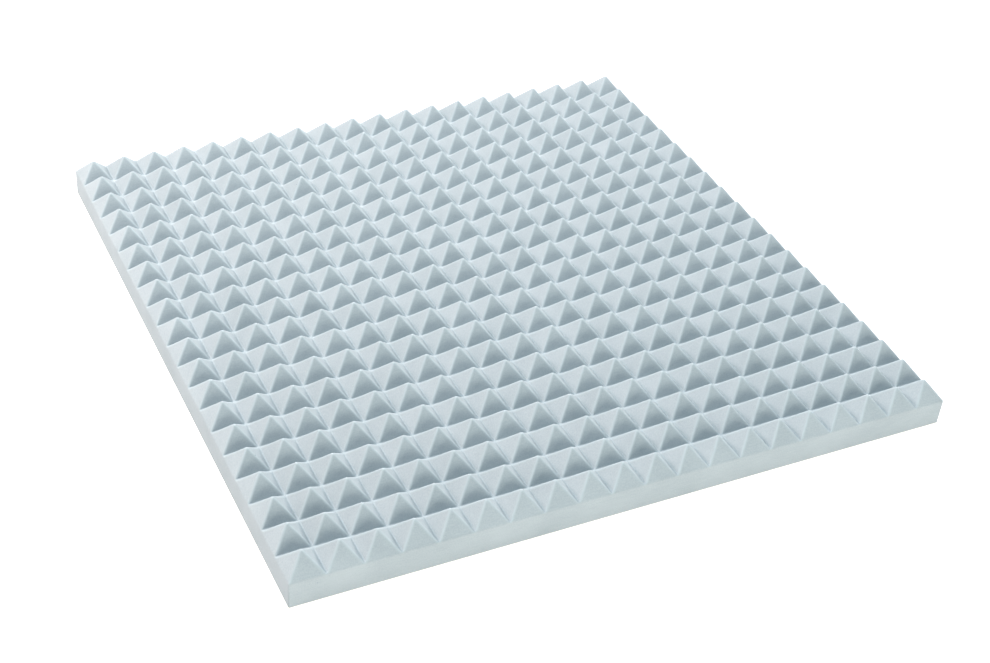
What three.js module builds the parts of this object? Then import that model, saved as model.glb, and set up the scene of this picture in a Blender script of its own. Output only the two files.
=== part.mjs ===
// A square sheet of acoustic foam with a field of pyramids cut into its face. Its back has a
// self-adhesive film under a release liner that is slit into two halves.
// Millimetres, +Z up, lying on its back with the pyramids up. The origin is the middle of the
// underside, on the plane that the sheet lies on.

import * as THREE from "three";
import { mergeVertices } from "three/addons/utils/BufferGeometryUtils.js";

// The sheet
const panelWidth = 1000; // along X
const panelLength = 1000; // along Y
const baseThickness = 39; // foam under the crease between the edge walls and the outer pyramids

// The pyramids
const pyramidPitch = 50; // spacing of the valleys, rounded so that whole pyramids fill the sheet
const pyramidHeight = 29; // from the crease up to the tips
const tipWidth = 3; // flat of a blunt tip
const valleyRise = 3; // the valleys' rounded floors lie this far above the crease

// The back
const adhesiveThickness = 0.2;
const linerThickness = 0.15;
const linerSlit = 1; // between the two halves of the liner

// Worked out from the sizes above
const halfWidth = panelWidth / 2;
const halfLength = panelLength / 2;
const halfTip = tipWidth / 2;
const halfSlit = linerSlit / 2;
const underside = 0;
const adhesiveLevel = underside + linerThickness;
const foamBackLevel = adhesiveLevel + adhesiveThickness;
const creaseLevel = foamBackLevel + baseThickness;
const valleyLevel = creaseLevel + valleyRise;
const tipLevel = creaseLevel + pyramidHeight;
const riseShare = valleyRise / pyramidHeight;

const foam = new THREE.MeshStandardMaterial({ color: 0xc6d1d8, roughness: 0.95, metalness: 0 });
const adhesive = new THREE.MeshStandardMaterial({ color: 0xd9d6c8, roughness: 0.35, metalness: 0 });
const siliconisedPaper = new THREE.MeshStandardMaterial({ color: 0xe9e4d6, roughness: 0.5, metalness: 0 });

// Where the pyramids' feet start and end along one side of the sheet, between its two edges. The
// valleys' floors fill the gaps between one foot and the next.
function footLines(extent) {
  const count = Math.round(extent / pyramidPitch);
  const cell = extent / count;
  const inset = riseShare * (cell / 2 - halfTip);
  const lines = [-extent / 2];
  for (let k = 0; k < count; k += 1) {
    const cellStart = k * cell - extent / 2;
    lines.push(cellStart + inset, cellStart + cell - inset);
  }
  lines.push(extent / 2);
  return lines;
}

// Two triangles over four corners that run anticlockwise as they are seen from outside. They
// meet along the diagonal that rises more, so that the sheet's outer corners keep their ridge.
function addFace(points, a, b, c, d) {
  if (Math.abs(a.z - c.z) >= Math.abs(b.z - d.z)) {
    points.push(a, b, c, a, c, d);
  } else {
    points.push(b, c, d, b, d, a);
  }
}

// One pyramid: four sloping faces from the corners of its foot up to its blunt tip.
function addPyramid(points, foot) {
  const middleX = (foot[0].x + foot[2].x) / 2;
  const middleY = (foot[0].y + foot[2].y) / 2;
  const tip = [
    new THREE.Vector3(middleX - halfTip, middleY - halfTip, tipLevel),
    new THREE.Vector3(middleX + halfTip, middleY - halfTip, tipLevel),
    new THREE.Vector3(middleX + halfTip, middleY + halfTip, tipLevel),
    new THREE.Vector3(middleX - halfTip, middleY + halfTip, tipLevel),
  ];
  foot.forEach((corner, k) => {
    const next = (k + 1) % foot.length;
    addFace(points, corner, foot[next], tip[next], tip[k]);
  });
  addFace(points, ...tip);
}

// The face of the sheet: a pyramid on every foot, the valleys' floors between the feet, and a
// narrow slope from the outermost feet down to the crease at the sheet's edges.
function addFaceOfSheet(points, xLines, yLines) {
  const atEdge = (k, lines) => k === 0 || k === lines.length - 1;
  const isFoot = (k) => k % 2 === 1;
  const corner = (i, j) => {
    const low = atEdge(i, xLines) || atEdge(j, yLines);
    return new THREE.Vector3(xLines[i], yLines[j], low ? creaseLevel : valleyLevel);
  };
  for (let i = 0; i < xLines.length - 1; i += 1) {
    for (let j = 0; j < yLines.length - 1; j += 1) {
      const corners = [corner(i, j), corner(i + 1, j), corner(i + 1, j + 1), corner(i, j + 1)];
      if (isFoot(i) && isFoot(j)) {
        addPyramid(points, corners);
      } else {
        addFace(points, ...corners);
      }
    }
  }
}

// The upright edge walls, and the flat back as slices that meet in its middle.
function addWallsAndBack(points, xLines, yLines) {
  const around = [
    ...xLines.map((x) => [x, -halfLength]),
    ...yLines.map((y) => [halfWidth, y]),
    ...xLines.toReversed().map((x) => [x, halfLength]),
    ...yLines.toReversed().map((y) => [-halfWidth, y]),
  ];
  const middle = new THREE.Vector3(0, 0, foamBackLevel);
  around.forEach(([x, y], k) => {
    const [nextX, nextY] = around[(k + 1) % around.length];
    if (x === nextX && y === nextY) {
      return; // a corner of the sheet ends one edge and starts the next
    }
    const low = new THREE.Vector3(x, y, foamBackLevel);
    const nextLow = new THREE.Vector3(nextX, nextY, foamBackLevel);
    const nextHigh = new THREE.Vector3(nextX, nextY, creaseLevel);
    addFace(points, low, nextLow, nextHigh, new THREE.Vector3(x, y, creaseLevel));
    points.push(nextLow, low, middle);
  });
}

// The sheet is cut from one block of foam, so the pyramids and the base are one body.
function pyramidSheet() {
  const points = [];
  const xLines = footLines(panelWidth);
  const yLines = footLines(panelLength);
  addFaceOfSheet(points, xLines, yLines);
  addWallsAndBack(points, xLines, yLines);
  return mergeVertices(new THREE.BufferGeometry().setFromPoints(points));
}

// A flat layer as long as the sheet, between two places across it and two levels.
function layer(left, right, low, high) {
  const outline = new THREE.Shape();
  outline.moveTo(left, low);
  outline.lineTo(right, low);
  outline.lineTo(right, high);
  outline.lineTo(left, high);
  const geometry = new THREE.ExtrudeGeometry(outline, { depth: panelLength, bevelEnabled: false });
  geometry.rotateX(Math.PI / 2);
  geometry.translate(0, halfLength, 0);
  return geometry;
}

function named(name, geometry, material) {
  const mesh = new THREE.Mesh(geometry, material);
  mesh.name = name;
  return mesh;
}

const film = layer(-halfWidth, halfWidth, adhesiveLevel, foamBackLevel);
const leftLiner = layer(-halfWidth, -halfSlit, underside, adhesiveLevel);
const rightLiner = layer(halfSlit, halfWidth, underside, adhesiveLevel);

const panel = new THREE.Group();
panel.add(named("foam_panel", pyramidSheet(), foam));
panel.add(named("adhesive_film", film, adhesive));
panel.add(named("release_liner_left", leftLiner, siliconisedPaper));
panel.add(named("release_liner_right", rightLiner, siliconisedPaper));

export default panel;
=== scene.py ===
import math

import bmesh
import bpy
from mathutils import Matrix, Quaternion, Vector, noise


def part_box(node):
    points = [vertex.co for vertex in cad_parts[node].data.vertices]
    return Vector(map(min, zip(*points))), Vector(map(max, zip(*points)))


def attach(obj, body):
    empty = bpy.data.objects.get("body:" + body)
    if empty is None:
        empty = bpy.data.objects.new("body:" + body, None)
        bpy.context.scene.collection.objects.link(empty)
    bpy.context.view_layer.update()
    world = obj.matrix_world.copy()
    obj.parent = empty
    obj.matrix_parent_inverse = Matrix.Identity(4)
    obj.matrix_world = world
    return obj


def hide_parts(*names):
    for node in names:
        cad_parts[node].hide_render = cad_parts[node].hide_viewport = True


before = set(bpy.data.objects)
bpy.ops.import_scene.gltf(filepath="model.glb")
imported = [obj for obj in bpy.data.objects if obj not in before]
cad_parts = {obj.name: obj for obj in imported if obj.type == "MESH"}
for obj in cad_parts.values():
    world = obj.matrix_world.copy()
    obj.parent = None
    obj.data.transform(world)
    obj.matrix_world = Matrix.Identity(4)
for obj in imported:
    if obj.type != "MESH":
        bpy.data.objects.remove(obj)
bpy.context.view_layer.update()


# Foam sheet. Flexible open-cell polyurethane foam, one slab cut from a block by a profiled
# blade in two crossed passes, so the pyramids and the base under them are one piece. A blade
# drags soft foam, and so every ridge, tip and valley comes out a little round and uneven.

foam_low, foam_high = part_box("foam_panel")
pyramid_pitch = 0.050
base_thickness = 0.039  # up the edge walls to the sharp line from which the slopes rise
sharp_height = 0.0304  # of a pyramid above that line, before its tip is rounded
valley_radius = 0.0023
crease_softness = 0.0026  # of wall and of slope that the rounding between them takes
ridge_softness = 0.0030  # how far the rounding of a ridge reaches, measured across a pyramid
tip_size = 0.0030  # from the middle of a tip to where its rounding ends
tip_loss = 0.0009  # that the very top of it has lost besides
corner_softness = 0.0020  # of the upright corners
corner_steps = 3  # faces that round off each of them
back_softness = 0.0003
back_steps = 2
cut_waviness = 0.0002  # how far the blade wanders
cut_wavelength = 0.08
cut_seed = 1  # picks one wander, so that each run cuts the same sheet
soft_turn = math.radians(75)  # edges that turn by less are shaded as one soft surface
crease_level = foam_low.z + base_thickness
slope = sharp_height / (pyramid_pitch / 2)
slope_angle = math.atan(slope)
valley_width = valley_radius * math.sin(slope_angle)  # of half the rounded floor
floor_rise = valley_radius / math.cos(slope_angle) - valley_radius  # of a valley over the crease
crease_radius = crease_softness / math.tan((math.pi / 2 - slope_angle) / 2)
crease_inset = crease_softness / 6  # of the crease's own points, half way round
hair = pyramid_pitch / 1000  # near enough to be the same place


def select_where(piece, kind, chosen):
    """In edit mode, selects the vertices, edges or faces that pass a test, and nothing else."""
    bpy.ops.mesh.select_mode(type=kind)
    bpy.ops.mesh.select_all(action="DESELECT")
    mesh = bmesh.from_edit_mesh(piece.data)
    for element in {"VERT": mesh.verts, "EDGE": mesh.edges, "FACE": mesh.faces}[kind]:
        if chosen(element):
            element.select_set(True)
    mesh.select_flush_mode()
    bmesh.update_edit_mesh(piece.data)


def one_pass(place, outer):
    """How high above the crease one pass of the blade leaves the foam at a place across it."""
    from_edge = outer - abs(place)
    if from_edge < crease_softness * math.cos(slope_angle):
        return math.sqrt(crease_radius**2 - (crease_radius - from_edge) ** 2) - crease_softness
    if from_edge < pyramid_pitch / 2:
        return slope * from_edge
    from_valley = abs(place - round(place / pyramid_pitch) * pyramid_pitch)
    if from_valley < valley_width:
        return valley_radius / math.cos(slope_angle) - math.sqrt(valley_radius**2 - from_valley**2)
    return slope * from_valley


def both_passes(x, y):
    """What both passes leave, with the ridges rounded, and ever less so towards the valleys."""
    low, high = sorted((one_pass(x, foam_high.x), one_pass(y, foam_high.y)))
    reach = min(slope * ridge_softness, max(low - floor_rise, 0))
    if high - low >= reach:
        return low
    return low - (1 - (high - low) / reach) ** 2 * reach / 4


# One cell of the pattern, still flat: rings for the valley, the slopes and the tip, and lines
# along both sides of each ridge
cell_middle = Vector((foam_low.x + pyramid_pitch / 2, foam_low.y + pyramid_pitch / 2, crease_level))
bpy.ops.object.select_all(action="DESELECT")
bpy.ops.mesh.primitive_plane_add(size=pyramid_pitch, location=cell_middle)
foam = bpy.context.object
foam.name = "foam_sheet"
bpy.ops.object.transform_apply(location=True, rotation=False, scale=False)
bpy.ops.object.mode_set(mode="EDIT")
for ring_width in (valley_width / 2, valley_width / 2, pyramid_pitch / 2 - valley_width - tip_size):
    bpy.ops.mesh.inset(thickness=ring_width)
bpy.ops.mesh.poke()
for across_ridge in (Vector((1, 1, 0)), Vector((1, -1, 0))):
    for side in (-1, 1):
        bpy.ops.mesh.select_all(action="SELECT")
        bpy.ops.mesh.bisect(
            plane_co=cell_middle + across_ridge * side * ridge_softness / 2,
            plane_no=across_ridge,
            threshold=hair,
        )
bpy.ops.object.mode_set(mode="OBJECT")

# The whole field of cells, with the walls and the back
columns = round((foam_high.x - foam_low.x) / pyramid_pitch)
rows = round((foam_high.y - foam_low.y) / pyramid_pitch)
for count, step in ((columns, (pyramid_pitch, 0, 0)), (rows, (0, pyramid_pitch, 0))):
    field = foam.modifiers.new("field", "ARRAY")
    field.count = count
    field.use_relative_offset = False
    field.use_constant_offset = True
    field.constant_offset_displace = step
    field.use_merge_vertices = True
    field.merge_threshold = hair
    bpy.ops.object.modifier_apply(modifier=field.name)
bpy.ops.object.mode_set(mode="EDIT")
select_where(foam, "EDGE", lambda edge: edge.is_boundary)
for drop in (crease_softness, base_thickness - crease_softness):
    bpy.ops.mesh.extrude_edges_move(TRANSFORM_OT_translate={"value": (0, 0, -drop)})
bpy.ops.mesh.edge_face_add()
bpy.ops.mesh.select_all(action="SELECT")
bpy.ops.mesh.normals_make_consistent(inside=False)
select_where(
    foam,
    "EDGE",
    lambda edge: abs(edge.verts[0].co.z - edge.verts[1].co.z) > hair
    and all(abs(edge.verts[0].co[axis]) > foam_high[axis] - hair for axis in (0, 1)),
)
bpy.ops.mesh.bevel(offset=corner_softness, segments=corner_steps, affect="EDGES")

# The rings stop short at the ends of the valleys and at the corners, so the crease, which is
# rounded all the way round the square sheet, gets its lines there too
for outwards in (Vector((1, 0, 0)), Vector((0, 1, 0)), Vector((-1, 0, 0)), Vector((0, -1, 0))):
    for distance in (valley_width / 2, valley_width):
        select_where(foam, "FACE", lambda face: face.calc_center_median().z > crease_level - hair)
        bpy.ops.mesh.bisect(
            plane_co=outwards * (foam_high.x - distance), plane_no=outwards, threshold=hair
        )
select_where(
    foam,
    "EDGE",
    lambda edge: all(abs(vertex.co.z - foam_low.z) < hair for vertex in edge.verts),
)
bpy.ops.mesh.bevel(offset=back_softness, segments=back_steps, affect="EDGES")
bpy.ops.object.mode_set(mode="OBJECT")

# The cut: each point of the face goes to where the two passes leave it, and the blade wanders.
# Points that come to lie in the same place are then merged.
crease_place = foam_high.x - crease_inset
for vertex in foam.data.vertices:
    if vertex.co.z > crease_level - hair:
        for axis in (0, 1):
            vertex.co[axis] = min(max(vertex.co[axis], -crease_place), crease_place)
        vertex.co.z = crease_level + both_passes(vertex.co.x, vertex.co.y)
        if vertex.co.z > crease_level + slope * (pyramid_pitch / 2 - tip_size / 2):
            vertex.co.z -= tip_loss
noise.seed_set(cut_seed)
for vertex in foam.data.vertices:
    if vertex.co.z > foam_low.z + back_softness + hair:
        vertex.co += cut_waviness * noise.noise_vector(vertex.co / cut_wavelength)
bpy.ops.object.mode_set(mode="EDIT")
bpy.ops.mesh.select_all(action="SELECT")
bpy.ops.mesh.remove_doubles(threshold=hair)
bpy.ops.object.mode_set(mode="OBJECT")
bpy.ops.object.shade_smooth_by_angle(angle=soft_turn)
shading = foam.modifiers.new("shading", "WEIGHTED_NORMAL")
shading.keep_sharp = True
bpy.ops.object.modifier_apply(modifier=shading.name)


def to_linear(colour):
    """The shader's colour for an sRGB hex value such as 0x9FA7AB."""
    shares = [(colour >> shift & 255) / 255 for shift in (16, 8, 0)]
    return [s / 12.92 if s <= 0.04045 else ((s + 0.055) / 1.055) ** 2.4 for s in shares] + [1]


def add_node(tree, kind, links=None, **settings):
    """Adds a node with its settings, and gives each input a value or another node's output."""
    node = tree.nodes.new(kind)
    for name, value in settings.items():
        setattr(node, name, value)
    for name, value in (links or {}).items():
        if isinstance(value, bpy.types.NodeSocket):
            tree.links.new(value, node.inputs[name])
        else:
            node.inputs[name].default_value = value
    return node


# Open-cell polyurethane foam, blade cut and left without a skin: quite matt, so soft light shows
# every slope, with a faint velvet where the torn cell walls stand up. Along thin ridges and at the
# tips its colour is painted a shade paler: painted light, for light that comes through the thin
# foam. Cells are about 0.5 mm, too fine to show, so their grain is drawn at 2 mm, and the blade's
# drag marks are drawn 1.6 mm wide instead of a few tenths.
foam_pale = 0x9FA7AB
foam_deep = 0x929B9F
# Painted shade: the floor of a burst cell, a real pit drawn by the bump, is given this darker
# colour
foam_pore_painted_shade = 0x6F7C84
foam_painted_lit = 0x9FA9AD  # painted light, paler at the ridges and tips, for light that comes through the thin foam
painted_light_reach = 0.0050  # how far the painted light reaches from a ridge or a tip, measured across a pyramid
cloud_size = 0.060  # light and dark clouds from how the block rose
grain_size = 0.002
drag_mark_length = 0.014
drag_mark_width = 0.0016
drag_mark_weight = 0.4  # in the tone, where the clouds and the grain weigh 1 each
deepest_tone, palest_tone = 0.85, 1.55  # sums of the three that give foam_deep and foam_pale
pore_spacing = 0.055  # burst cells are rare
pore_radius = 0.0009
pore_floor_share = 0.5  # of its radius, within which the painted shade of a pore is darkest
grain_depth = 0.00005

foam_finish = bpy.data.materials.new("open_cell_foam_blade_cut")
foam_finish.use_nodes = True
tree = foam_finish.node_tree
shader = tree.nodes["Principled BSDF"]
place = add_node(tree, "ShaderNodeTexCoord").outputs["Object"]
clouds = add_node(
    tree, "ShaderNodeTexNoise", {"Vector": place, "Scale": 1 / cloud_size, "Detail": 3.0}
).outputs["Fac"]
grain = add_node(
    tree, "ShaderNodeTexNoise", {"Vector": place, "Scale": 1 / grain_size, "Detail": 2.0}
).outputs["Fac"]
along_blade = add_node(
    tree,
    "ShaderNodeMapping",
    {"Vector": place, "Scale": (1 / drag_mark_length, 1 / drag_mark_width, 1 / drag_mark_width)},
).outputs["Vector"]
drag_marks = add_node(
    tree, "ShaderNodeTexNoise", {"Vector": along_blade, "Scale": 1.0, "Detail": 1.0}
).outputs["Fac"]
# Burst cells: the pit itself is real and goes into the bump, and its darker floor is painted shade
pore_distance = add_node(
    tree, "ShaderNodeTexVoronoi", {"Vector": place, "Scale": 1 / pore_spacing}
).outputs["Distance"]
pores_and_painted_shade = add_node(
    tree,
    "ShaderNodeMapRange",
    {
        "Value": pore_distance,
        "From Min": pore_radius / pore_spacing,
        "From Max": pore_floor_share * pore_radius / pore_spacing,
    },
).outputs["Result"]
uneven = add_node(
    tree, "ShaderNodeMath", {0: clouds, 1: grain}, operation="ADD"
).outputs["Value"]
uneven = add_node(
    tree,
    "ShaderNodeMath",
    {0: drag_marks, 1: drag_mark_weight, 2: uneven},
    operation="MULTIPLY_ADD",
).outputs["Value"]
tone = add_node(
    tree,
    "ShaderNodeMapRange",
    {"Value": uneven, "From Min": deepest_tone, "From Max": palest_tone},
).outputs["Result"]
body_colour = add_node(
    tree,
    "ShaderNodeMix",
    {"Factor": tone, 6: to_linear(foam_deep), 7: to_linear(foam_pale)},
    data_type="RGBA",
).outputs[2]
# How far a place is from a ridge and from a tip: a ridge lies as far from a valley along X as
# along Y, and at a tip the two distances add up to the pitch. The walls have neither.
axes = add_node(tree, "ShaderNodeSeparateXYZ", {"Vector": place}).outputs
from_valleys = [
    add_node(
        tree, "ShaderNodeMath", {0: axes[name], 1: pyramid_pitch / 2}, operation="PINGPONG"
    ).outputs["Value"]
    for name in ("X", "Y")
]
from_ridge = add_node(
    tree, "ShaderNodeMath", {0: from_valleys[0], 1: from_valleys[1]}, operation="SUBTRACT"
).outputs["Value"]
from_ridge = add_node(
    tree, "ShaderNodeMath", {0: from_ridge}, operation="ABSOLUTE"
).outputs["Value"]
from_tip = add_node(
    tree, "ShaderNodeMath", {0: from_valleys[0], 1: from_valleys[1]}, operation="ADD"
).outputs["Value"]
from_tip = add_node(
    tree, "ShaderNodeMath", {0: pyramid_pitch, 1: from_tip}, operation="SUBTRACT"
).outputs["Value"]
# Painted light: the colour turns paler near the ridges and tips, for light that comes through the
# thin foam. The walls get none.
painted_through_light = [
    add_node(
        tree,
        "ShaderNodeMapRange",
        {"Value": distance, "From Min": painted_light_reach, "From Max": 0.0},
        interpolation_type="SMOOTHSTEP",
    ).outputs["Result"]
    for distance in (from_ridge, from_tip)
]
painted_through_light = add_node(
    tree, "ShaderNodeMath", {0: painted_through_light[0], 1: painted_through_light[1]}, operation="MAXIMUM"
).outputs["Value"]
over_walls = add_node(
    tree,
    "ShaderNodeMapRange",
    {
        "Value": axes["Z"],
        "From Min": crease_level - valley_radius,
        "From Max": crease_level + valley_radius,
    },
).outputs["Result"]
painted_through_light = add_node(
    tree, "ShaderNodeMath", {0: painted_through_light, 1: over_walls}, operation="MULTIPLY"
).outputs["Value"]
# Mixes the painted light into the foam's colour
body_colour = add_node(
    tree,
    "ShaderNodeMix",
    {"Factor": painted_through_light, 6: body_colour, 7: to_linear(foam_painted_lit)},
    data_type="RGBA",
).outputs[2]
colour = add_node(
    tree,
    "ShaderNodeMix",
    {"Factor": pores_and_painted_shade, 6: body_colour, 7: to_linear(foam_pore_painted_shade)},
    data_type="RGBA",
).outputs[2]
relief = add_node(
    tree, "ShaderNodeMath", {0: grain, 1: pores_and_painted_shade}, operation="SUBTRACT"
).outputs["Value"]
bumps = add_node(
    tree, "ShaderNodeBump", {"Height": relief, "Distance": grain_depth, "Strength": 1.0}
).outputs["Normal"]
tree.links.new(colour, shader.inputs["Base Color"])
tree.links.new(bumps, shader.inputs["Normal"])
shader.inputs["Roughness"].default_value = 0.95
shader.inputs["Specular IOR Level"].default_value = 0.1
shader.inputs["Sheen Weight"].default_value = 0.04
shader.inputs["Sheen Roughness"].default_value = 0.5
foam.data.materials.append(foam_finish)

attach(foam, "root")
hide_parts("foam_panel")


# Adhesive film. Tacky acrylic on a thin clear film, rolled onto the whole back of the foam in the
# factory. It can be seen only round the edge of the back and in the liner's slit, until the liner
# is peeled off.

film_clear = 0xD9D6C8
film_milky = 0xE8E6DC
film_clear_roughness = 0.22
film_milky_roughness = 0.38
film_bubble_spacing = 0.045
film_bubble_radius = 0.005
film_bubble_core_share = 0.8  # of its radius, within which a bubble is milky all through
film_dimple_size = 0.0015  # the foam's cells print through, drawn three times as coarse
film_dimple_depth = 0.00004

film_finish = bpy.data.materials.new("acrylic_adhesive_film")
film_finish.use_nodes = True
tree = film_finish.node_tree
shader = tree.nodes["Principled BSDF"]
place = add_node(tree, "ShaderNodeTexCoord").outputs["Object"]
dimples = add_node(
    tree, "ShaderNodeTexNoise", {"Vector": place, "Scale": 1 / film_dimple_size, "Detail": 2.0}
).outputs["Fac"]
bubble_distance = add_node(
    tree, "ShaderNodeTexVoronoi", {"Vector": place, "Scale": 1 / film_bubble_spacing}
).outputs["Distance"]
bubbles = add_node(
    tree,
    "ShaderNodeMapRange",
    {
        "Value": bubble_distance,
        "From Min": film_bubble_radius / film_bubble_spacing,
        "From Max": film_bubble_core_share * film_bubble_radius / film_bubble_spacing,
    },
).outputs["Result"]
# A film that clings is clear, and one that has lifted round trapped air is milky and less glossy
colour = add_node(
    tree,
    "ShaderNodeMix",
    {"Factor": bubbles, 6: to_linear(film_clear), 7: to_linear(film_milky)},
    data_type="RGBA",
).outputs[2]
roughness = add_node(
    tree,
    "ShaderNodeMapRange",
    {"Value": bubbles, "To Min": film_clear_roughness, "To Max": film_milky_roughness},
).outputs["Result"]
relief = add_node(
    tree, "ShaderNodeMath", {0: dimples, 1: bubbles}, operation="ADD"
).outputs["Value"]
bumps = add_node(
    tree, "ShaderNodeBump", {"Height": relief, "Distance": film_dimple_depth, "Strength": 1.0}
).outputs["Normal"]
tree.links.new(colour, shader.inputs["Base Color"])
tree.links.new(roughness, shader.inputs["Roughness"])
tree.links.new(bumps, shader.inputs["Normal"])
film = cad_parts["adhesive_film"]
film.data.materials.clear()
film.data.materials.append(film_finish)


# Release liner, left half. Glassine paper, pressed dense and smooth between hot rollers, with
# silicone on the side that the adhesive touches. It is slit down the middle of the panel, so that
# it peels from there, and damp air leaves it a little cockled.

liner_pale = 0xEAE4D4
liner_deep = 0xE2DAC6
liner_deepest_tone, liner_palest_tone = 0.75, 1.25  # sums of fibres and formation
liner_least_roughness, liner_most_roughness = 0.36, 0.52
fibre_length = 0.030  # along the roll, drawn longer and wider than the real fibres
fibre_width = 0.0012
formation_size = 0.009  # the cloudiness of paper held against the light
cockle_size = 0.070
cockle_depth = 0.0009

liner_finish = bpy.data.materials.new("siliconised_glassine_paper")
liner_finish.use_nodes = True
tree = liner_finish.node_tree
shader = tree.nodes["Principled BSDF"]
place = add_node(tree, "ShaderNodeTexCoord").outputs["Object"]
along_roll = add_node(
    tree,
    "ShaderNodeMapping",
    {"Vector": place, "Scale": (1 / fibre_width, 1 / fibre_length, 1 / fibre_width)},
).outputs["Vector"]
fibres = add_node(
    tree, "ShaderNodeTexNoise", {"Vector": along_roll, "Scale": 1.0, "Detail": 3.0}
).outputs["Fac"]
formation = add_node(
    tree, "ShaderNodeTexNoise", {"Vector": place, "Scale": 1 / formation_size, "Detail": 4.0}
).outputs["Fac"]
cockles = add_node(
    tree, "ShaderNodeTexNoise", {"Vector": place, "Scale": 1 / cockle_size, "Detail": 1.0}
).outputs["Fac"]
mottle = add_node(
    tree, "ShaderNodeMath", {0: fibres, 1: formation}, operation="ADD"
).outputs["Value"]
tone = add_node(
    tree,
    "ShaderNodeMapRange",
    {"Value": mottle, "From Min": liner_deepest_tone, "From Max": liner_palest_tone},
).outputs["Result"]
colour = add_node(
    tree,
    "ShaderNodeMix",
    {"Factor": tone, 6: to_linear(liner_deep), 7: to_linear(liner_pale)},
    data_type="RGBA",
).outputs[2]
roughness = add_node(
    tree,
    "ShaderNodeMapRange",
    {"Value": formation, "To Min": liner_least_roughness, "To Max": liner_most_roughness},
).outputs["Result"]
bumps = add_node(
    tree, "ShaderNodeBump", {"Height": cockles, "Distance": cockle_depth, "Strength": 1.0}
).outputs["Normal"]
tree.links.new(colour, shader.inputs["Base Color"])
tree.links.new(roughness, shader.inputs["Roughness"])
tree.links.new(bumps, shader.inputs["Normal"])
left_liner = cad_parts["release_liner_left"]
left_liner.data.materials.clear()
left_liner.data.materials.append(liner_finish)


# Release liner, right half. The same glassine, on the other side of the slit, which is just wide
# enough for a fingernail to get under either edge.

right_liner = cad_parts["release_liner_right"]
right_liner.data.materials.clear()
right_liner.data.materials.append(liner_finish)


# Studio: a white table that glows a little, so that it comes out pale right up to the sheet, and
# soft boxes. Those behind light the far slopes, a low one in front reaches only the upper part of
# the near slopes, and one overhead fills the valleys with a cooler light.

floor_size = 60
floor_drop = 0.0002  # a hair below the sheet's underside
floor_tone = 0xB0B0B0
floor_glow = 0.78
bpy.ops.object.select_all(action="DESELECT")
bpy.ops.mesh.primitive_plane_add(size=floor_size, location=(0, 0, -floor_drop))
floor = bpy.context.object
floor.name = "floor"
floor_finish = bpy.data.materials.new("opal_acrylic_table")
floor_finish.use_nodes = True
shader = floor_finish.node_tree.nodes["Principled BSDF"]
shader.inputs["Base Color"].default_value = to_linear(floor_tone)
shader.inputs["Roughness"].default_value = 0.9
shader.inputs["Emission Color"].default_value = (1, 1, 1, 1)
shader.inputs["Emission Strength"].default_value = floor_glow
floor.data.materials.append(floor_finish)

soft_boxes = {  # azimuth from +Y towards +X, elevation, distance, width, height, watts, colour
    "behind": (0, 45, 3.6, 5.0, 1.2, 73, 0xFFF8F6),
    "behind_left": (-54, 45, 3.6, 3.0, 1.2, 190, 0xFFF2EC),
    "behind_right": (62, 32, 3.6, 3.0, 1.2, 162, 0xFFF6F1),
    "in_front": (180, 12, 3.6, 5.0, 1.0, 128, 0xFBF9F0),
    "overhead": (0, 90, 3.0, 3.0, 3.0, 66, 0xC6ECFF),
}
for name, (azimuth, elevation, distance, width, height, watts, colour) in soft_boxes.items():
    azimuth, elevation = math.radians(azimuth), math.radians(elevation)
    towards_box = Vector(
        (
            math.sin(azimuth) * math.cos(elevation),
            math.cos(azimuth) * math.cos(elevation),
            math.sin(elevation),
        )
    )
    bpy.ops.object.light_add(type="AREA", location=towards_box * distance)
    soft_box = bpy.context.object
    soft_box.name = name
    soft_box.data.shape = "RECTANGLE"
    soft_box.data.size = width
    soft_box.data.size_y = height
    soft_box.data.energy = watts
    soft_box.data.color = to_linear(colour)[:3]
    soft_box.rotation_mode = "QUATERNION"
    soft_box.rotation_quaternion = (-towards_box).to_track_quat("-Z", "Y")

room_tone = 0xEDF9FF
room_glow = 0.15
room = bpy.data.worlds.new("white_room")
bpy.context.scene.world = room
room.use_nodes = True
room_light = room.node_tree.nodes["Background"]
room_light.inputs["Color"].default_value = to_linear(room_tone)
room_light.inputs["Strength"].default_value = room_glow

bpy.context.scene.view_settings.view_transform = "Standard"


# Camera, at the photograph's viewing angle: it looks over the sheet from its -X and -Y side, from
# about 37 degrees up, and is rolled by a few degrees.

aim = Vector((-0.01554, -0.08053, 0))
view_azimuth = math.radians(29.270)  # turned from +Y towards +X
view_elevation = math.radians(36.762)
view_roll = math.radians(5.647)
view_distance = 2.4935
lens_mm = 59.921
sensor_width_mm = 36

looking = Vector(
    (
        math.sin(view_azimuth) * math.cos(view_elevation),
        math.cos(view_azimuth) * math.cos(view_elevation),
        -math.sin(view_elevation),
    )
)
bpy.ops.object.camera_add(location=aim - looking * view_distance)
camera = bpy.context.object
camera.name = "camera"
camera.data.lens = lens_mm
camera.data.sensor_width = sensor_width_mm
camera.rotation_mode = "QUATERNION"
camera.rotation_quaternion = looking.to_track_quat("-Z", "Y") @ Quaternion((0, 0, 1), view_roll)
bpy.context.scene.camera = camera
